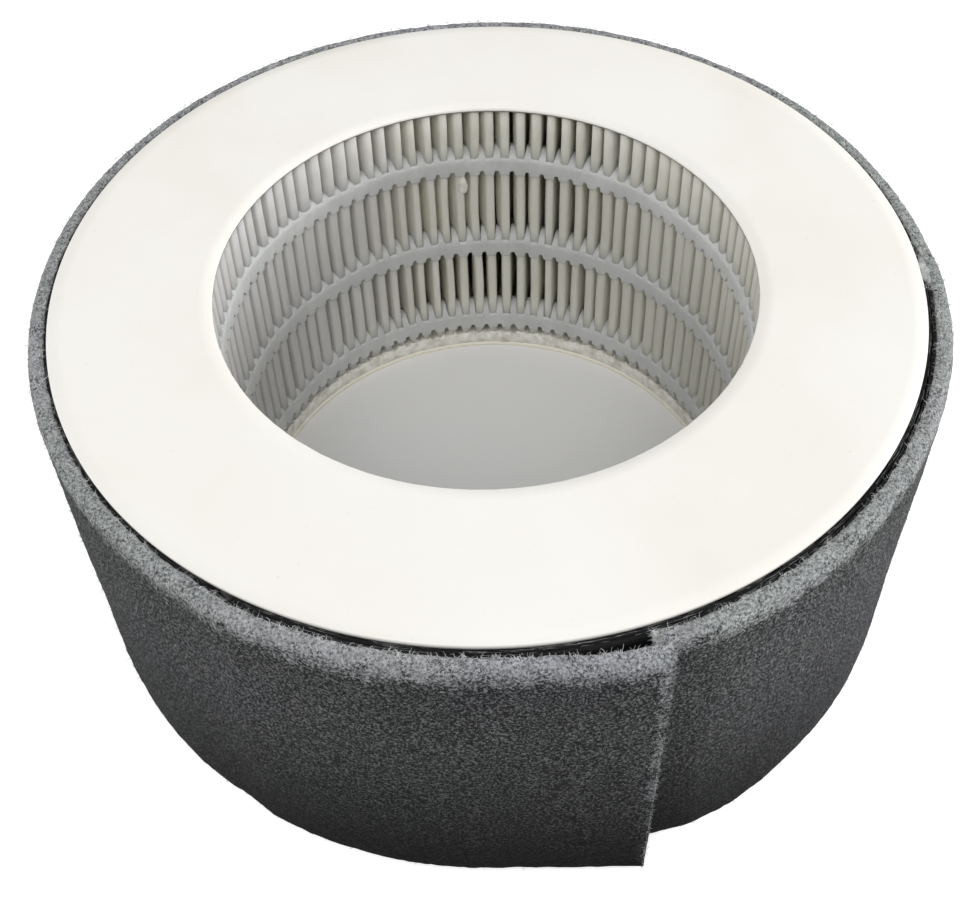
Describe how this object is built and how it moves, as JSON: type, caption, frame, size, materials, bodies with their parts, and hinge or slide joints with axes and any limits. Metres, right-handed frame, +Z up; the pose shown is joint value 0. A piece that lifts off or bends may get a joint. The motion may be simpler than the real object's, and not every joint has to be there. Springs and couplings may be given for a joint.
{
  "type": "air purifier filter",
  "caption": "Ring-shaped pleated air filter with white end caps, a black carbon cloth wrap and a grey felt pre-filter.",
  "frame": {"origin": "on the axis of the hole, in the plane of the bottom cap's underside", "axes": "+Z up along the axis of the hole, -Y towards the front, where the felt's loose end lies"},
  "size_m": [0.1893, 0.1894, 0.079],
  "materials": {
    "end_cap": "smooth, matt, off-white",
    "adhesive": "translucent hot-melt glue",
    "filter_paper": "soft white glass-fibre paper",
    "carbon_cloth": "black laminated cloth, frayed at its cut edge",
    "felt": "thick grey needle felt with fuzzy edges",
    "tape": "thin double-sided tape"
  },
  "bodies": {
    "root": {"bottom_end_cap": "end_cap", "top_end_cap": "end_cap", "bottom_adhesive": "adhesive", "top_adhesive": "adhesive", "pleat_pack": "filter_paper", "pleat_seam_adhesive": "adhesive", "inner_glue_bead_upper": "adhesive", "inner_glue_bead_middle": "adhesive", "inner_glue_bead_lower": "adhesive", "outer_glue_bead_upper": "adhesive", "outer_glue_bead_middle": "adhesive", "outer_glue_bead_lower": "adhesive", "carbon_wrap": "carbon_cloth", "carbon_tape": "tape", "prefilter_wrap": "felt", "prefilter_tape": "tape"}
  },
  "joints": []
}
